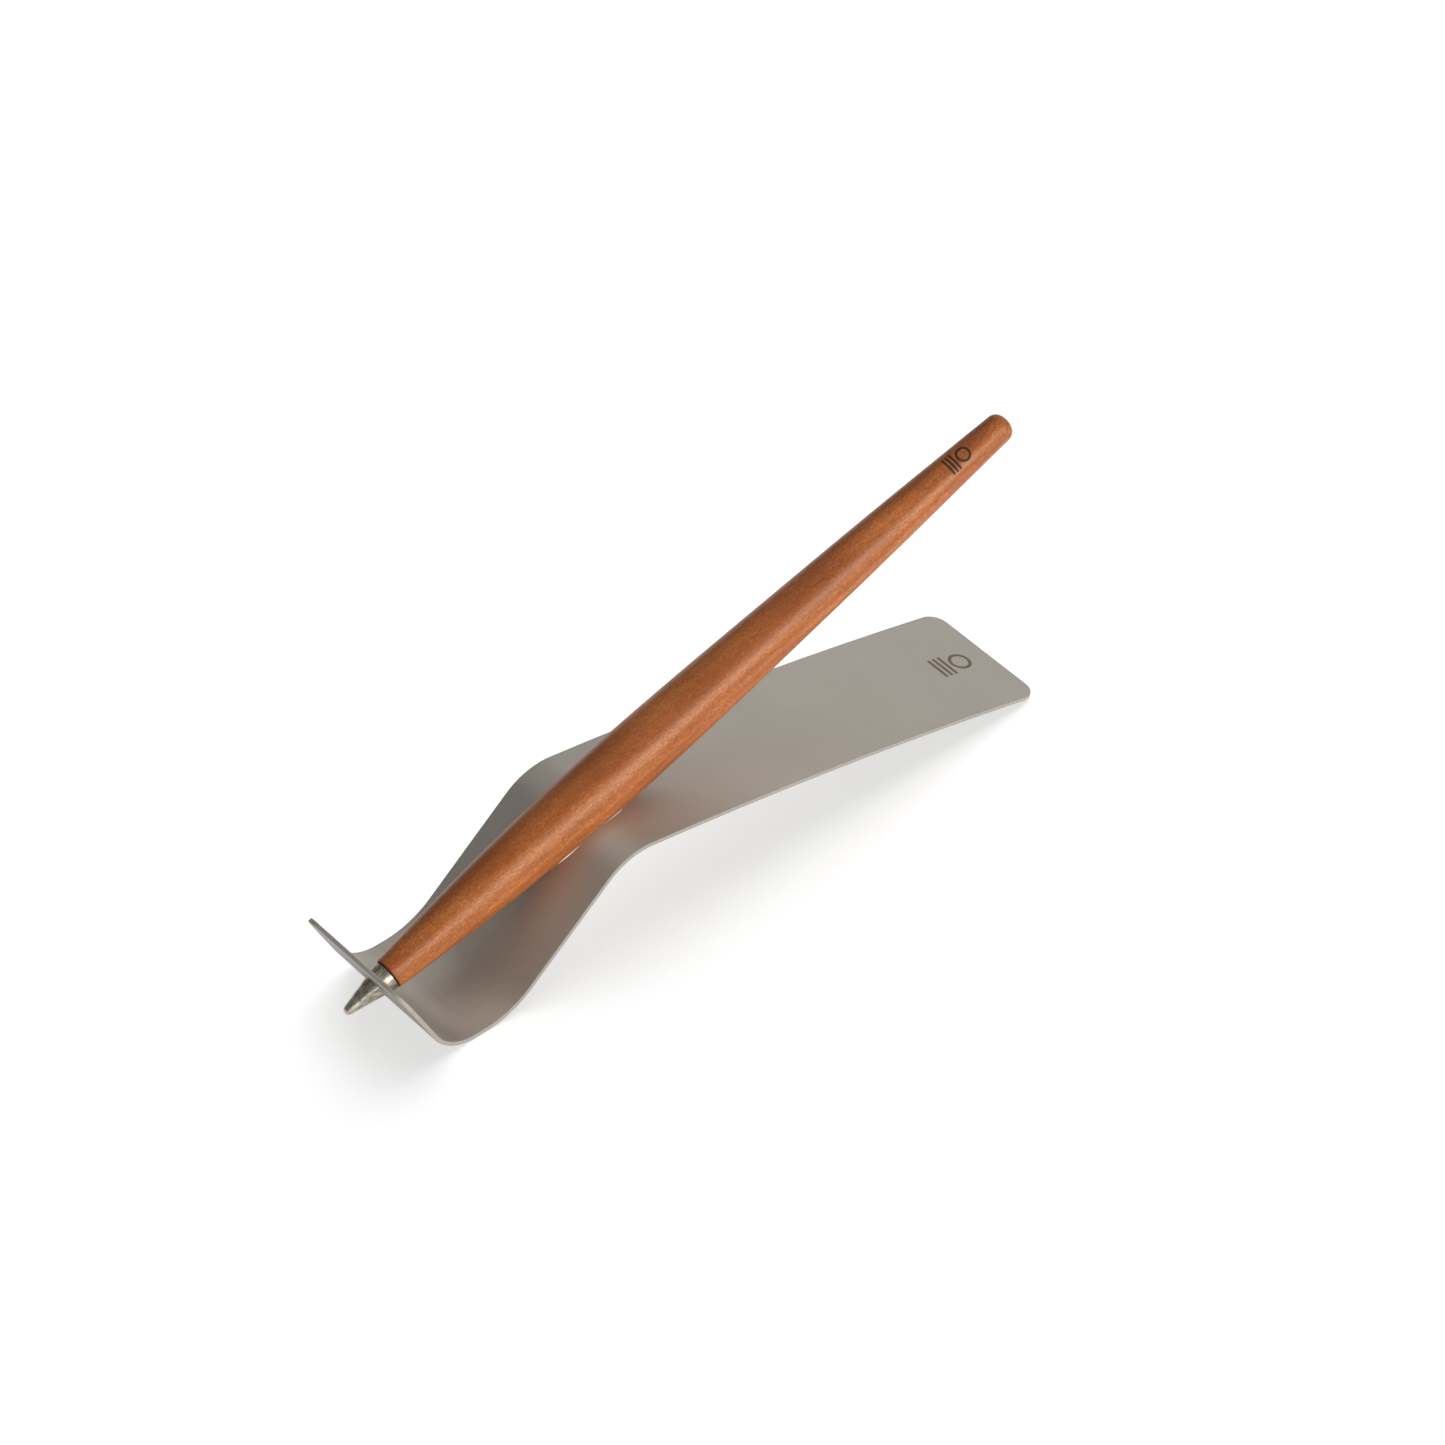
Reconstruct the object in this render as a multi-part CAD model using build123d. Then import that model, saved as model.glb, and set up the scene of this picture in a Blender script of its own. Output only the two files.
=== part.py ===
from build123d import *
from math import cos, sin, tan, radians, degrees
import os

# A turned wooden stylus with a metal point, lying in a stand bent from one
# strip of stainless sheet. Millimetres, +Z up, +X from the lip towards the
# tail, Y across the strip. Places are given from the middle of the stand's
# foot. At the end every piece moves together, to put the origin at the middle
# of the whole object's underside.

# Stand: the sheet, and the line of its underside from the foot both ways
sheet_t = 0.9
strip_w = 30.0
foot_flat = 2.0          # the flat under the scoop that stands on the table
scoop_back_r = 17.7
ramp_angle = 39.4
crest_r = 12.15
back_fall = 9.8          # slope of the back plate just behind the crest
back_len = 100.3
back_dome_r = 935.0      # the back plate is very slightly domed
scoop_front_r = 10.7
lip_angle = 63.8
lip_len = 15.7
lip_corner_r = 4.5
tail_corner_r = 3.5
edge_break = 0.18        # the sheet's rims are rounded by tumbling
hole_break = 0.06
lip_hole_r = 3.1

# Cradle hole: an egg shape at the crest that lets the barrel's belly sink in,
# blunt towards the tail and longer towards the lip
cradle_at = 47.0         # its widest place, along the stylus from the barrel's face
cradle_front = 12.75
cradle_back = 10.05
cradle_w = 11.38
cradle_depth = 12.0

# Stylus: its tilt, and the middle of the barrel's front face
axis_tilt = 17.85
front_x = -9.3
front_z = 10.7

# Barrel: (distance from its front face, radius)
barrel_stations = [(0, 3.2), (11.5, 4.15), (26.5, 5.17), (41.5, 5.83), (58.5, 6.1),
                   (76.5, 5.85), (101.5, 5.11), (126.5, 4.26), (146.5, 3.4), (158.8, 2.85)]
tail_round = 2.1
rim_break = 0.12

# Bush pressed into the barrel, and the stepped hole behind it
bush_r = 2.2
bush_bore_r = 1.55
bush_mouth = 0.4         # the bush starts this far inside the barrel's face
bush_end = 5.4
relief_r = 1.7
relief_end = 7.5
drill_point = 1.0

# Ring between the barrel and the metal point
ring_t = 0.3
ring_r = 2.95
ring_bore_r = 1.6

# Metal point: shank (the outside of an M3 thread), collar, cone and ball tip
shank_r = 1.5
shank_end = 4.4
shank_chamfer = 0.3
collar_r = 2.95
collar_len = 1.0
collar_break = 0.08
cone_half_angle = 12.5
tip_r = 0.95
tip_reach = 10.95        # from the barrel's face to the end of the tip

near = 0.01              # two lengths closer than this are taken as equal


def turned(outline):
    """A solid of revolution about X, from closed lines in the XZ plane."""
    return revolve(make_face(outline), Axis.X, 360)


def outline_of(*points):
    return Polyline(*[(x, 0, r) for x, r in points], close=True)


# Stand plate
ramp, fall, lip = radians(ramp_angle), radians(back_fall), radians(lip_angle)
dome = back_len / back_dome_r
# the ramp is as long as it takes for the back plate's end to touch the table
ramp_len = -(scoop_back_r * (1 - cos(ramp)) + crest_r * (cos(fall) - cos(ramp))
             + back_dome_r * (cos(fall + dome) - cos(fall))) / sin(ramp)


def strip_line(height):
    """The strip's line at a height above its underside, from lip to tail."""
    foot = Line((-foot_flat / 2, height), (foot_flat / 2, height))
    rise = JernArc(foot @ 1, (1, 0), scoop_back_r - height, ramp_angle)
    slope = Line(rise @ 1, (rise @ 1) + (rise % 1) * ramp_len)
    crest = JernArc(slope @ 1, slope % 1, crest_r + height, -ramp_angle - back_fall)
    back = JernArc(crest @ 1, crest % 1, back_dome_r + height, -degrees(dome))
    curl = JernArc(foot @ 0, (-1, 0), scoop_front_r - height, -lip_angle)
    upright = Line(curl @ 1, (curl @ 1) + (curl % 1) * lip_len)
    return [upright, curl, foot, rise, slope, crest, back]


under, upper = strip_line(0), strip_line(sheet_t)
ends = [Line(under[0] @ 1, upper[0] @ 1), Line(under[-1] @ 1, upper[-1] @ 1)]
section = make_face(under + upper + ends)
sheet = extrude(Plane.XZ * section, strip_w / 2, both=True)
tail_x = max(v.X for v in sheet.vertices())
lip_x = min(v.X for v in sheet.vertices())


def crosses_sheet(edge):
    return abs(edge.length - sheet_t) < near


corners = [e for e in sheet.edges() if crosses_sheet(e)]
sheet = fillet([e for e in corners if e.center().X > 0], tail_corner_r)
corners = [e for e in sheet.edges() if crosses_sheet(e) and e.center().X < lip_x + sheet_t]
sheet = fillet(corners, lip_corner_r)

# the rims run round both faces; the lines across the sheet at its bends don't count
rims = [e for e in sheet.edges() if not crosses_sheet(e)
        and (abs(e.center().Y) > strip_w / 4
             or e.center().X > tail_x - sheet_t or e.center().X < lip_x + sheet_t)]
sheet = fillet(rims, edge_break)

# the lip's hole is square to the lip, where the stylus's axis meets mid-sheet
tilt = radians(axis_tilt)
lip_foot = ((under[1] @ 1) + (upper[1] @ 1)) / 2
lip_way, axis_way = Vector(-cos(lip), sin(lip)), Vector(cos(tilt), sin(tilt))
to_foot = lip_foot - Vector(front_x, front_z)
hole_at = lip_foot - lip_way * (to_foot.cross(axis_way).Z / lip_way.cross(axis_way).Z)
lip_plane = Plane(origin=(hole_at.X, 0, hole_at.Y), z_dir=(sin(lip), 0, cos(lip)))
lip_drill = lip_plane * Cylinder(lip_hole_r, 6 * sheet_t)

# the cradle hole is two half ovals, cut square to the stylus
cradle_plane = Plane(origin=(front_x + cradle_at * cos(tilt), 0, front_z + cradle_at * sin(tilt)),
                     x_dir=(cos(tilt), 0, sin(tilt)), z_dir=(-sin(tilt), 0, cos(tilt)))
egg = make_face([EllipticalCenterArc((0, 0), cradle_back, cradle_w / 2, -90, arc_size=180),
                 EllipticalCenterArc((0, 0), cradle_front, cradle_w / 2, 90, arc_size=180)])
cradle_cut = extrude(cradle_plane * egg, -cradle_depth)
stand_plate = sheet - lip_drill - cradle_cut
hole_rims = [e for e in stand_plate.edges()
             if max(abs(e.bounding_box().min.Y), e.bounding_box().max.Y) < cradle_w / 2 + near
             and e.length > 2 * sheet_t]
stand_plate = fillet(hole_rims, hole_break)

# Barrel, along +X from its front face
tail_u, tail_r = barrel_stations[-1]
front_r = barrel_stations[0][1]
barrel = turned([Spline(*[(u, 0, r) for u, r in barrel_stations]),
                 Polyline((tail_u, 0, tail_r), (tail_u, 0, 0), (0, 0, 0), (0, 0, front_r))])
barrel = fillet(barrel.edges().filter_by(GeomType.CIRCLE).sort_by(Axis.X)[-1], tail_round)
barrel = fillet(barrel.edges().filter_by(GeomType.CIRCLE).sort_by(Axis.X)[0], rim_break)
barrel = barrel - turned(outline_of((-ring_t, 0), (-ring_t, bush_r), (bush_end, bush_r), (bush_end, relief_r),
                                    (relief_end, relief_r), (relief_end + drill_point, 0)))

threaded_bush = turned(outline_of((bush_mouth, bush_bore_r), (bush_mouth, bush_r),
                                  (bush_end, bush_r), (bush_end, bush_bore_r)))
seat_ring = turned(outline_of((-ring_t, ring_bore_r), (-ring_t, ring_r), (0, ring_r), (0, ring_bore_r)))

# Metal point: the cone meets the ball of the tip on a tangent
cone = radians(cone_half_angle)
ball_u = tip_reach - tip_r
meet = Vector(-ball_u - tip_r * sin(cone), 0, tip_r * cos(cone))
collar_u = -ring_t - collar_len
cone_r = meet.Z + (collar_u - meet.X) * tan(cone)
mid_way = (cone + radians(90)) / 2
metal_point = turned([
    ThreePointArc((-tip_reach, 0, 0), (-ball_u - tip_r * sin(mid_way), 0, tip_r * cos(mid_way)), meet),
    Polyline(meet, (collar_u, 0, cone_r), (-ring_t - collar_break, 0, collar_r),
             (-ring_t, 0, collar_r - collar_break), (-ring_t, 0, shank_r),
             (shank_end - shank_chamfer, 0, shank_r), (shank_end, 0, shank_r - shank_chamfer),
             (shank_end, 0, 0), (-tip_reach, 0, 0))])

seat = Location((front_x, 0, front_z)) * Location((0, 0, 0), (0, -axis_tilt, 0))
pieces = {
    "stand_plate": stand_plate,
    "barrel": seat * barrel,
    "threaded_bush": seat * threaded_bush,
    "seat_ring": seat * seat_ring,
    "metal_point": seat * metal_point,
}

boxes = [piece.bounding_box() for piece in pieces.values()]
middle = (min(b.min.X for b in boxes) + max(b.max.X for b in boxes)) / 2
home = Location((-middle, 0, 0))
os.makedirs("parts", exist_ok=True)
for name, piece in pieces.items():
    placed = home * piece
    export_step(placed, f"parts/{name}.step")
    print(name, placed.is_valid, round(placed.volume, 2))
print("moved along X by", -middle, "ramp length", ramp_len)
print("lip hole", hole_at.X - middle, hole_at.Y, "barrel front", front_x - middle, front_z)
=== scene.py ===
from math import cos, sin, tan, radians, pi

import bmesh
import bpy
from mathutils import Matrix, Vector


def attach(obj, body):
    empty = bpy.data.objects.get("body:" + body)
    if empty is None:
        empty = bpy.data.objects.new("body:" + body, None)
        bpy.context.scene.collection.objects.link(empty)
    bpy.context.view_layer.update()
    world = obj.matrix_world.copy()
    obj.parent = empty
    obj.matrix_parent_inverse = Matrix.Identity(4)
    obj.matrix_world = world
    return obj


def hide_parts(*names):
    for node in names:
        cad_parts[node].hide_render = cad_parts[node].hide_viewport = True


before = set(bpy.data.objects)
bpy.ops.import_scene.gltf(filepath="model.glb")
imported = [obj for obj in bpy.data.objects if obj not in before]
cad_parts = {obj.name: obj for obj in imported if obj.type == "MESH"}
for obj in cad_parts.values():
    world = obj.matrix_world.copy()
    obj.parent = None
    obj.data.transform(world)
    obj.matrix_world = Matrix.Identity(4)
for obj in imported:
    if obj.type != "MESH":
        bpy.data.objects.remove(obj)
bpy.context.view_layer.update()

# A turned wooden stylus with a worn nickel point, lying in a stand of satin
# steel strip. The stand, the ring and the bush keep their CAD meshes; the
# barrel and the point are turned again here, smoother and with a real thread.

scene = bpy.context.scene
mm = 0.001

# the stylus's own axis: from the middle of the barrel's front face towards the tail
stylus = {
    "tilt": 17.85,              # degrees above the table
    "front": (-70.523, 0.0, 10.7),
}
seat = (Matrix.Translation(Vector(stylus["front"]) * mm)
        @ Matrix.Rotation(radians(-stylus["tilt"]), 4, "Y"))


# camera
view = {
    "place": (-0.529523, -0.632531, 0.826585),
    "down": 43.978,             # degrees below level
    "heading": 49.539,          # degrees from +X towards +Y
    "lens": 152.986,
    "sensor": 36,
    "nearest": 0.01,            # nothing closer than this is drawn
}
camera = bpy.data.objects.new("camera", bpy.data.cameras.new("camera"))
camera.data.lens = view["lens"]
camera.data.sensor_width = view["sensor"]
camera.data.clip_start = view["nearest"]
camera.location = view["place"]
camera.rotation_euler = (radians(90 - view["down"]), 0, radians(view["heading"] - 90))
scene.collection.objects.link(camera)
scene.camera = camera
print("camera set")


class Wire:
    # one socket of a material, which takes part in sums

    def __init__(self, graph, socket):
        self.graph = graph
        self.socket = socket

    def __add__(self, other):
        return self.graph.math("ADD", self, other)

    def __sub__(self, other):
        return self.graph.math("SUBTRACT", self, other)

    def __rsub__(self, other):
        return self.graph.math("SUBTRACT", other, self)

    def __mul__(self, other):
        return self.graph.math("MULTIPLY", self, other)

    __radd__ = __add__
    __rmul__ = __mul__


class Graph:
    # a material and short ways to wire it up

    def __init__(self, name):
        self.material = bpy.data.materials.new(name)
        self.material.use_nodes = True
        self.tree = self.material.node_tree
        self.shader = self.tree.nodes["Principled BSDF"]

    def node(self, kind, settings=None, values=None, output=0):
        made = self.tree.nodes.new(kind)
        for key, value in (settings or {}).items():
            setattr(made, key, value)
        for key, value in (values or {}).items():
            self.feed(made.inputs[key], value)
        return Wire(self, made.outputs[output])

    def feed(self, socket, value):
        if isinstance(value, Wire):
            self.tree.links.new(value.socket, socket)
        else:
            socket.default_value = value

    def finish(self, **values):
        for key, value in values.items():
            self.feed(self.shader.inputs[key.replace("_", " ")], value)
        return self.material

    def math(self, operation, first, second=0.0):
        return self.node("ShaderNodeMath", {"operation": operation}, {0: first, 1: second})

    def step(self, value, low, high):
        # 0 below low, 1 above high, smooth between
        return self.node("ShaderNodeMapRange", {"interpolation_type": "SMOOTHSTEP"},
                         {"Value": value, "From Min": low, "From Max": high})

    def span(self, value, low, high):
        # from 0 to 1, laid out between low and high
        return self.node("ShaderNodeMapRange", None,
                         {"Value": value, "To Min": low, "To Max": high})

    def mix(self, factor, first, second):
        # colours; a Mix node's colour sockets are 6 and 7, and its colour output 2
        return self.node("ShaderNodeMix", {"data_type": "RGBA"},
                         {0: factor, 6: first, 7: second}, 2)

    def own(self, matrix=None):
        # object coordinates in millimetres, turned to a piece's own axes
        place = self.node("ShaderNodeTexCoord", None, None, "Object")
        if matrix is not None:
            place = self.node("ShaderNodeMapping", {"vector_type": "TEXTURE"},
                              {"Vector": place, "Location": matrix.to_translation(),
                               "Rotation": tuple(matrix.to_euler())})
        return self.node("ShaderNodeMapping", {"vector_type": "POINT"},
                         {"Vector": place, "Scale": (1 / mm, 1 / mm, 1 / mm)})

    def noise(self, vector, scale, detail=3.0, rough=0.5, distort=0.0):
        return self.node("ShaderNodeTexNoise", None,
                         {"Vector": vector, "Scale": scale, "Detail": detail,
                          "Roughness": rough, "Distortion": distort})

    def parts(self, vector):
        # its three numbers
        return [self.node("ShaderNodeSeparateXYZ", None, {0: vector}, i) for i in range(3)]

    def stretch(self, vector, scale):
        return self.node("ShaderNodeVectorMath", {"operation": "MULTIPLY"},
                         {0: vector, 1: scale})

    def bump(self, height, distance, strength):
        return self.node("ShaderNodeBump", None,
                         {"Height": height, "Distance": distance * mm, "Strength": strength})


# the mark on the barrel and on the stand, in shares of its size
badge = {
    "ringR": 0.22,
    "ringAt": 0.2,
    "barsAt": (-0.16, -0.3, -0.44),
    "barHalf": 0.3,
    "solid": 0.5,     # a line is solid up to this share of its width from its middle
    "gone": 0.9,      # and has faded out at this one
}


def ringMark(graph, across, along, size, line):
    # a small open ring with three short bars under it
    solid, gone = line * badge["solid"], line * badge["gone"]
    top = along - badge["ringAt"] * size
    out = graph.math("SQRT", across * across + top * top)
    band = graph.math("ABSOLUTE", out - badge["ringR"] * size)
    mark = 1 - graph.step(band, solid, gone)
    wide = graph.math("ABSOLUTE", across)
    half = badge["barHalf"] * size
    within = 1 - graph.step(wide, half, half + gone - solid)
    for place in badge["barsAt"]:
        high = graph.math("ABSOLUTE", along - place * size)
        bar = (1 - graph.step(high, solid, gone)) * within
        mark = graph.math("MAXIMUM", mark, bar)
    return mark


joinWithin = 0.001 * mm         # points of a turned shape closer than this are one


def keepSharp(edges, angle):
    # edges that turn by more than this many radians stay sharp in a smooth shape
    for edge in edges:
        edge.smooth = len(edge.link_faces) != 2 or edge.calc_face_angle() < angle


def turned(line, steps):
    # spins a line of (distance, radius) points in millimetres about the stylus's axis
    shape = bmesh.new()
    points = [shape.verts.new((u * mm, 0, r * mm)) for u, r in line]
    edges = [shape.edges.new(pair) for pair in zip(points, points[1:])]
    bmesh.ops.spin(shape, geom=points + edges, cent=(0, 0, 0), axis=(1, 0, 0),
                   angle=2 * pi, steps=steps, use_merge=True)
    bmesh.ops.remove_doubles(shape, verts=shape.verts, dist=joinWithin)
    bmesh.ops.recalc_face_normals(shape, faces=shape.faces)
    keepSharp(shape.edges, 0.5)
    return shape


def asPiece(name, shape, material):
    # lays a turned shape in its seat and makes it an object
    shape.transform(seat)
    for face in shape.faces:
        face.smooth = True
    mesh = bpy.data.meshes.new(name)
    shape.to_mesh(mesh)
    shape.free()
    mesh.materials.append(material)
    piece = bpy.data.objects.new(name, mesh)
    scene.collection.objects.link(piece)
    return piece


def arc(middle, radius, start, end, count):
    # points of an arc about a middle, by angle in degrees from the tail's way
    u, r = middle
    angles = [radians(start + (end - start) * i / count) for i in range(count + 1)]
    return [(u + radius * cos(a), r + radius * sin(a)) for a in angles]


def smoothLine(stations, count):
    # a smooth line through stations, each with the slope between its two neighbours
    slopes = []
    for i in range(len(stations)):
        a, b = stations[max(i - 1, 0)], stations[min(i + 1, len(stations) - 1)]
        slopes.append((b[1] - a[1]) / (b[0] - a[0]))
    line = []
    for (u0, r0), (u1, r1), s0, s1 in zip(stations, stations[1:], slopes, slopes[1:]):
        run = u1 - u0
        for i in range(count):
            t = i / count
            line.append((u0 + t * run,
                         (2 * t ** 3 - 3 * t ** 2 + 1) * r0
                         + (t ** 3 - 2 * t ** 2 + t) * run * s0
                         + (3 * t ** 2 - 2 * t ** 3) * r1
                         + (t ** 3 - t ** 2) * run * s1))
    return line + [stations[-1]]


# wooden barrel
barrel = {
    "stations": [(0, 3.2), (11.5, 4.15), (26.5, 5.17), (41.5, 5.83), (58.5, 6.1),
                 (76.5, 5.85), (101.5, 5.11), (126.5, 4.26), (146.5, 3.4), (158.8, 2.85)],
    "tailRound": 2.1,
    "rimBreak": 0.12,
    "bushHole": (2.2, 5.4),       # radius, depth
    "relief": (1.7, 7.5, 1.0),    # radius, depth, drill point
    "perStation": 14,             # points of the side for each station
    "steps": 144,                 # round the barrel
    "light": (0.56, 0.185, 0.042, 1),
    "mid": (0.335, 0.086, 0.014, 1),
    "dark": (0.19, 0.042, 0.007, 1),
    "pore": (0.085, 0.020, 0.004, 1),
    "sheen": (1.0, 0.90, 0.74, 1),
    "burnt": (0.010, 0.004, 0.002, 1),
    "fibreScale": (0.35, 5.5, 5.5),   # for each mm: long along the grain
    "fineScale": (1.1, 12.0, 12.0),
    "speckleScale": (1.6, 4.2, 4.2),
    "poreScale": (0.8, 4.2, 4.2),
    "rough": 0.42,
    "reliefDepth": 0.02,          # of the grain, in mm
    "reliefStrength": 0.7,
    "coat": 0.08,
    "coatRough": 0.35,
    "markAt": (146.0, 109.0),     # along the barrel, degrees round it
    "markSize": 6.0,
    "markLine": 0.34,
}


def barrelWood(s):
    g = Graph("satinPearwood")
    here = g.own(seat)
    u, v, w = g.parts(here)
    # growth rings seen side on: planes across the board, pulled about along the grain
    sway = g.noise(g.stretch(here, (0.012, 0.09, 0.09)), 1.0, 2.0)
    rings = g.math("SINE", (w * 1.15 + v * 0.45 + sway * 14.0) * 1.9) * 0.5 + 0.5
    clouds = g.noise(g.stretch(here, (0.05, 0.22, 0.22)), 1.0, 3.0, 0.55)
    fibre = g.noise(g.stretch(here, s["fibreScale"]), 1.0, 4.0, 0.62)
    fine = g.noise(g.stretch(here, s["fineScale"]), 1.0, 3.0, 0.65)
    speckle = g.noise(g.stretch(here, s["speckleScale"]), 1.0, 2.0, 0.6)
    # short pores, a millimetre or so long along the grain
    cells = g.node("ShaderNodeTexVoronoi", {"feature": "F1"},
                   {"Vector": g.stretch(here, s["poreScale"]), "Scale": 1.0,
                    "Randomness": 1.0}, "Distance")
    pores = (1 - g.step(cells, 0.08, 0.24)) * g.step(clouds, 0.35, 0.6)

    # from dark through middling to light wood, then the pores and some pale flecks
    tone = rings * 0.08 + clouds * 0.40 + fibre * 0.35 + fine * 0.50 + speckle * 0.60
    colour = g.mix(g.step(tone, 0.68, 0.98), s["dark"], s["mid"])
    colour = g.mix(g.step(tone, 0.92, 1.22), colour, s["light"])
    colour = g.mix(pores * 0.5, colour, s["pore"])
    pale = g.step(g.noise(g.stretch(here, (1.3, 7.0, 7.0)), 1.3, 1.0), 0.60, 0.74)
    colour = g.mix(pale * 0.3, colour, s["light"])

    # the mark, near the tail on the side that faces up
    at, turn = s["markAt"][0], radians(s["markAt"][1])
    across = v * sin(turn) - w * cos(turn)
    facing = v * cos(turn) + w * sin(turn)
    mark = ringMark(g, across, u - at, s["markSize"], s["markLine"])
    mark = mark * g.step(facing, 0.0, 0.4)    # not on the far side as well
    charred = g.step(g.noise(here, 4.0, 2.0), 0.25, 0.55) * 0.1 + 0.88
    colour = g.mix(mark * charred, colour, s["burnt"])

    rough = s["rough"] + fine * 0.12 - fibre * 0.05 + mark * 0.2 + pores * 0.12
    height = fibre * 0.5 + fine * 0.5 + speckle * 0.3 - pores * 1.2 - mark * 2.5
    return g.finish(Base_Color=colour, Roughness=rough, Specular_Tint=s["sheen"],
                    Coat_Weight=s["coat"], Coat_Roughness=s["coatRough"], IOR=1.5,
                    Normal=g.bump(height, s["reliefDepth"], s["reliefStrength"]))


def barrelShape(s):
    bushR, bushDeep = s["bushHole"]
    reliefR, reliefDeep, drillPoint = s["relief"]
    faceR = s["stations"][0][1]
    tailU, tailR = s["stations"][-1]
    rim, rounding = s["rimBreak"], s["tailRound"]
    side = smoothLine(s["stations"], s["perStation"])
    slope = (side[-1][1] - side[-2][1]) / (side[-1][0] - side[-2][0])
    # the side starts behind the rim's rounding and stops where the tail's takes over,
    # a few degrees before a right angle because the side slopes
    capU = tailU - rounding
    capR = tailR - slope * rounding
    lead, gap = 2.5, 0.4          # degrees and millimetres
    side = [p for p in side if rim * 1.5 < p[0] < capU - gap]
    inner = [(reliefDeep + drillPoint, 0.0), (reliefDeep, reliefR), (bushDeep, reliefR),
             (bushDeep, bushR), (0.0, bushR), (0.0, faceR - rim),
             (rim * 0.3, faceR - rim * 0.25), (rim, faceR + rim * 0.09)]
    cap = arc((capU, capR - rounding), rounding, 90 + lead, 0, s["perStation"])
    return turned(inner + side + cap + [(tailU, 0.0)], s["steps"])


woodBarrel = asPiece("wood_barrel", barrelShape(barrel), barrelWood(barrel))
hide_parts("barrel")
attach(woodBarrel, "handle")
print("barrel turned:", len(woodBarrel.data.polygons), "faces")


# metal point
point = {
    "ring": 0.3,                # the ring's thickness, between collar and barrel
    "collar": (2.95, 1.0, 0.08),  # radius, length, rim break
    "coneAngle": 12.5,          # degrees, from the axis to the flank
    "tipR": 0.95,
    "tipReach": 10.95,
    "shank": (1.24, 4.4, 0.3),  # core radius, end, chamfer
    "neck": (1.48, 0.25),       # radius at the ring, length down to the core
    "threadR": 1.49,
    "pitch": 0.5,
    "threadFrom": 0.05,
    "threadTo": 4.15,
    "ridgeHalf": 0.47,          # half the ridge's foot, as a share of the pitch
    "ridgeSunk": 0.03,          # the ridge's foot lies this far inside the core
    "ridgeSteps": 32,           # for each turn
    "steps": 96,                # round the point
    "bright": (0.60, 0.55, 0.455, 1),
    "dull": (0.25, 0.215, 0.155, 1),
    "stain": (0.085, 0.066, 0.044, 1),
    "turningScale": (14.0, 0.25, 0.25),
    "scuffScale": (0.55, 2.6, 2.6),
    "rough": 0.30,
    "reliefDepth": 0.014,
    "reliefStrength": 0.7,
}


def pointMetal(s):
    g = Graph("wornNickel")
    here = g.own(seat)
    along = g.parts(here)[0]
    # turning lines round the cone, and scuffs from use lengthways
    turning = g.noise(g.stretch(here, s["turningScale"]), 1.0, 3.0, 0.6)
    scuffs = g.noise(g.stretch(here, s["scuffScale"]), 1.0, 4.0, 0.65, 0.4)
    blotch = g.noise(here, 0.45, 4.0, 0.6)
    pits = g.step(g.noise(here, 4.5, 3.0, 0.6), 0.60, 0.72)
    worn = g.step(scuffs * 0.7 + blotch * 0.5, 0.5, 0.72)
    # the tip is rubbed brighter than the rest
    rubbed = 1 - g.step(along + s["tipReach"], 0.6, 3.5)
    colour = g.mix(worn, s["dull"], s["bright"])
    colour = g.mix(rubbed * 0.5, colour, s["bright"])
    colour = g.mix(pits * 0.5, colour, s["stain"])
    rough = s["rough"] + turning * 0.10 - worn * 0.06 + pits * 0.25 + blotch * 0.10
    height = turning * 0.5 + scuffs * 0.5 - pits
    return g.finish(Base_Color=colour, Roughness=rough, Metallic=1.0,
                    Normal=g.bump(height, s["reliefDepth"], s["reliefStrength"]))


def addThread(shape, s):
    # a small triangle swept round the shank as a helix, and closed at both its ends
    turns = (s["threadTo"] - s["threadFrom"]) / s["pitch"]
    low, half = s["shank"][0] - s["ridgeSunk"], s["pitch"] * s["ridgeHalf"]
    start = s["threadFrom"]
    corners = [shape.verts.new((x * mm, 0, r * mm)) for x, r in
               ((start - half, low), (start, s["threadR"]), (start + half, low))]
    edges = [shape.edges.new((corners[i], corners[(i + 1) % 3])) for i in range(3)]
    before = set(shape.faces)
    swept = bmesh.ops.spin(shape, geom=corners + edges, cent=(0, 0, 0), axis=(1, 0, 0),
                           dvec=(s["pitch"] / s["ridgeSteps"] * mm, 0, 0),
                           angle=2 * pi * turns, steps=int(s["ridgeSteps"] * turns))
    shape.faces.new(corners)
    shape.faces.new([v for v in swept["geom_last"] if isinstance(v, bmesh.types.BMVert)])
    thread = [face for face in shape.faces if face not in before]
    bmesh.ops.recalc_face_normals(shape, faces=thread)
    keepSharp({edge for face in thread for edge in face.edges}, 0.4)


def pointShape(s):
    collarR, collarLen, rimBreak = s["collar"]
    core, shankEnd, chamfer = s["shank"]
    neckR, neckLen = s["neck"]
    cone = radians(s["coneAngle"])
    # the flank meets the ball of the tip on a tangent
    ballU = s["tipReach"] - s["tipR"]
    meetU, meetR = -ballU - s["tipR"] * sin(cone), s["tipR"] * cos(cone)
    collarU = -s["ring"] - collarLen
    coneR = meetR + (collarU - meetU) * tan(cone)
    ball = arc((-ballU, 0.0), s["tipR"], 180, 90 + s["coneAngle"], 10)
    ball[0] = (-s["tipReach"], 0.0)
    parts = 8
    flank = [(meetU + (collarU - meetU) * i / parts, meetR + (coneR - meetR) * i / parts)
             for i in range(1, parts + 1)]
    back = [(-s["ring"] - rimBreak, collarR), (-s["ring"], collarR - rimBreak),
            (-s["ring"], neckR), (-s["ring"] + neckLen, core),
            (shankEnd - chamfer, core), (shankEnd, core - chamfer), (shankEnd, 0.0)]
    shape = turned(ball + flank + back, s["steps"])
    addThread(shape, s)
    return shape


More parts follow.
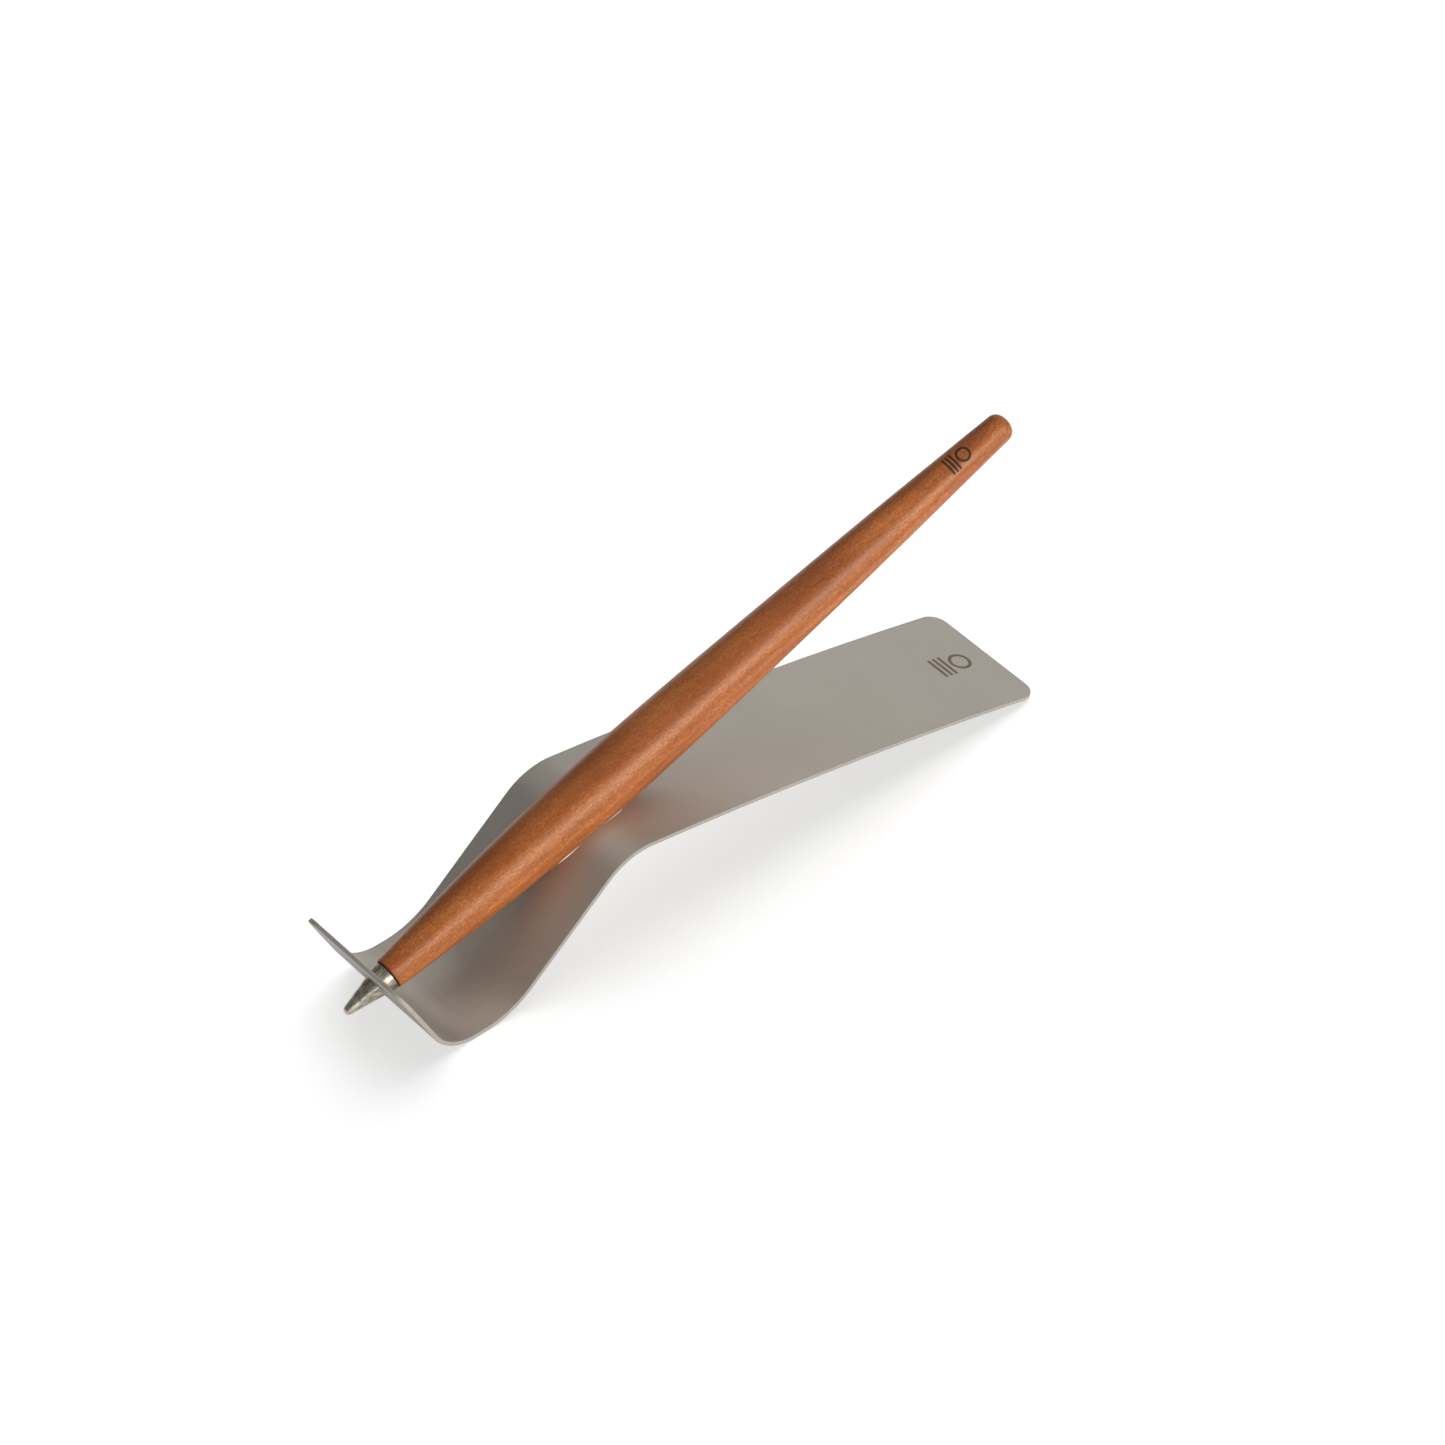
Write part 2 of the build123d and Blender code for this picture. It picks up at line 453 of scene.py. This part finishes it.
nickelPoint = asPiece("nickel_point", pointShape(point), pointMetal(point))
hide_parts("metal_point")
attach(nickelPoint, "point")
print("point turned:", len(nickelPoint.data.polygons), "faces")


# stand, a satin steel strip
stand = {
    "face": (0.63, 0.59, 0.525, 1),
    "shade": (0.55, 0.515, 0.455, 1),
    # painted shade for the faces that point down, darker than the steel's own colour
    "under": (0.22, 0.215, 0.20, 1),
    "cut": (0.44, 0.41, 0.365, 1),
    "mark": (0.20, 0.135, 0.08, 1),
    "markAt": (69.0, 0.0, 3.35),  # on the back plate's upper face
    "markSlope": 15.4,            # degrees, the plate's fall there
    "markSize": 9.4,
    "markLine": 0.5,
    "grainScale": (0.6, 22.0, 2.0),   # long along the strip, as it was rolled
    "shearScale": (9.0, 0.5, 1.2),
    "rough": 0.46,
    "metallic": 0.9,
    "reliefDepth": 0.006,
    "reliefStrength": 0.5,
}


def standSteel(s):
    g = Graph("satinSteel")
    here = g.own()
    grain = g.noise(g.stretch(here, s["grainScale"]), 1.0, 3.0, 0.6)
    blast = g.noise(here, 11.0, 3.0, 0.6)
    clouds = g.noise(here, 0.06, 3.0, 0.5)
    smudge = g.step(g.noise(g.stretch(here, (1.0, 1.4, 1.0)), 0.16, 4.0, 0.65), 0.52, 0.78)
    colour = g.mix(g.span(clouds, 0.15, 0.85), s["shade"], s["face"])
    colour = g.mix(grain * 0.22, colour, s["shade"])
    colour = g.mix(smudge * 0.12, colour, s["shade"])

    # painted shade: every face that points down, the lip's outer face too, is painted darker
    # to stand in for the dim floor beneath the lip that these faces reflect
    sideways, upwards = g.parts(g.node("ShaderNodeTexCoord", None, None, "Normal"))[1:]
    under = 1 - g.step(upwards, -0.35, -0.1)
    colour = g.mix(under * 0.85, colour, s["under"])

    # the cut edges, which are all that faces sideways, with fine lines from the shears
    edge = g.step(g.math("ABSOLUTE", sideways), 0.06, 0.3)
    shear = g.noise(g.stretch(here, s["shearScale"]), 1.0, 2.0, 0.6)
    colour = g.mix(edge * 0.8, colour, s["cut"])

    # the mark, on the upper face only
    plate = (Matrix.Translation(Vector(s["markAt"]) * mm)
             @ Matrix.Rotation(radians(s["markSlope"]), 4, "Y"))
    along, across, above = g.parts(g.own(plate))
    mark = ringMark(g, across, along, s["markSize"], s["markLine"])
    mark = mark * g.step(above, -0.5, -0.4)
    colour = g.mix(mark * (0.8 + blast * 0.2), colour, s["mark"])

    rough = (s["rough"] + blast * 0.08 + grain * 0.05 + smudge * 0.05 + edge * 0.22
             - mark * 0.05)
    height = grain * 0.35 + blast * 0.5 + edge * shear * 1.5 - mark
    return g.finish(Base_Color=colour, Roughness=rough, Metallic=s["metallic"],
                    Normal=g.bump(height, s["reliefDepth"], s["reliefStrength"]))


def coat(node, material):
    # gives a CAD node its material
    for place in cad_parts[node].material_slots:
        place.material = material


coat("stand_plate", standSteel(stand))
print("stand finished")


# ring and bush
ring = {
    "face": (0.005, 0.005, 0.004, 1),
    "dust": (0.018, 0.015, 0.012, 1),
    "rough": 0.62,
    "reliefDepth": 0.01,
    "reliefStrength": 0.6,
}
bush = {
    "bright": (0.78, 0.56, 0.26, 1),
    "dull": (0.50, 0.33, 0.14, 1),
    "rough": 0.24,
    "pitch": 0.5,
    "boreR": (1.6, 1.66),         # its thread fades out between these radii
    "reliefDepth": 0.05,
    "reliefStrength": 0.7,
}


def ringFibre(s):
    g = Graph("blackFibre")
    here = g.own(seat)
    grain = g.noise(here, 9.0, 3.0, 0.6)
    dust = g.step(g.noise(here, 1.4, 3.0, 0.6), 0.5, 0.75)
    colour = g.mix(dust * 0.5 + grain * 0.2, s["face"], s["dust"])
    return g.finish(Base_Color=colour, Roughness=s["rough"] + grain * 0.2,
                    Normal=g.bump(grain, s["reliefDepth"], s["reliefStrength"]))


def bushBrass(s):
    g = Graph("turnedBrass")
    here = g.own(seat)
    u, v, w = g.parts(here)
    out = g.math("SQRT", v * v + w * w)
    lines = g.math("SINE", out * 60.0 + g.noise(here, 1.5, 2.0) * 3.0)
    tarnish = g.step(g.noise(here, 0.8, 4.0, 0.65), 0.45, 0.75)
    # the thread inside the bore, as fine rings a pitch apart
    inside = 1 - g.step(out, *s["boreR"])
    cut = g.math("SINE", u * (2 * pi / s["pitch"])) * inside
    height = cut * 2.0 + lines * 0.15
    colour = g.mix(tarnish * 0.7, s["bright"], s["dull"])
    return g.finish(Base_Color=colour, Roughness=s["rough"] + tarnish * 0.2, Metallic=1.0,
                    Normal=g.bump(height, s["reliefDepth"], s["reliefStrength"]))


coat("seat_ring", ringFibre(ring))
coat("threaded_bush", bushBrass(bush))
print("ring and bush finished")


# floor and light
studio = {
    "floorSize": 6.0,
    "floor": (0.90, 0.90, 0.90, 1),
    "floorRib": (0.86, 0.86, 0.86, 1),
    "floorRough": 0.9,
    "world": (1.0, 1.0, 1.0, 1),
    "worldLevel": 0.19,
    "floorGlow": 0.58,            # the table is a dim light box
    "key": {"place": (0.12, -0.95, 0.52), "size": (1.2, 0.30), "power": 12.0},
    "back": {"place": (0.80, 0.65, 0.50), "size": (0.9, 0.6), "power": 1.2},
    "top": {"place": (0.05, 0.15, 1.3), "size": (1.0, 1.0), "power": 2.0},
    "table": {"place": (0.62, 0.50, 0.90), "size": (1.6, 1.6), "power": 8.5},
}


def lamp(name, s, aim=(0.0, 0.0, 0.02)):
    # a soft box that faces the object
    light = bpy.data.lights.new(name, "AREA")
    light.shape = "RECTANGLE"
    light.size, light.size_y = s["size"]
    light.energy = s["power"]
    holder = bpy.data.objects.new(name, light)
    holder.location = s["place"]
    holder.rotation_euler = (Vector(aim) - holder.location).to_track_quat("-Z", "Y").to_euler()
    scene.collection.objects.link(holder)
    return holder


def floorPaper(s):
    g = Graph("whitePaper")
    here = g.own()
    ribs = g.noise(g.stretch(here, (0.9, 0.06, 1.0)), 1.0, 2.0, 0.5)
    fleck = g.noise(here, 1.2, 3.0, 0.6)
    colour = g.mix(ribs * 0.1, s["floor"], s["floorRib"])
    return g.finish(Base_Color=colour, Roughness=s["floorRough"],
                    Emission_Color=(1, 1, 1, 1), Emission_Strength=s["floorGlow"],
                    Normal=g.bump(ribs + fleck * 0.4, 0.05, 0.4))


ground = bmesh.new()
bmesh.ops.create_grid(ground, x_segments=1, y_segments=1, size=studio["floorSize"] / 2)
floorMesh = bpy.data.meshes.new("floor")
ground.to_mesh(floorMesh)
ground.free()
floorMesh.materials.append(floorPaper(studio))
floor = bpy.data.objects.new("floor", floorMesh)
scene.collection.objects.link(floor)

world = bpy.data.worlds.new("studio")
world.use_nodes = True
sky = world.node_tree.nodes["Background"].inputs
sky["Color"].default_value = studio["world"]
sky["Strength"].default_value = studio["worldLevel"]
scene.world = world

# the floor takes its light from behind, so that its soft shadow falls forwards: the
# table lamp lights nothing else, and the key lamp leaves the floor out
lamps = {name: lamp(name, studio[name]) for name in ("key", "back", "top", "table")}
for name, reach in (("key", "EXCLUDE"), ("table", "INCLUDE")):
    group = bpy.data.collections.new(name + "Reach")
    group.objects.link(floor)
    group.collection_objects[0].light_linking.link_state = reach
    lamps[name].light_linking.receiver_collection = group
scene.view_settings.view_transform = "Standard"
print("studio lit")
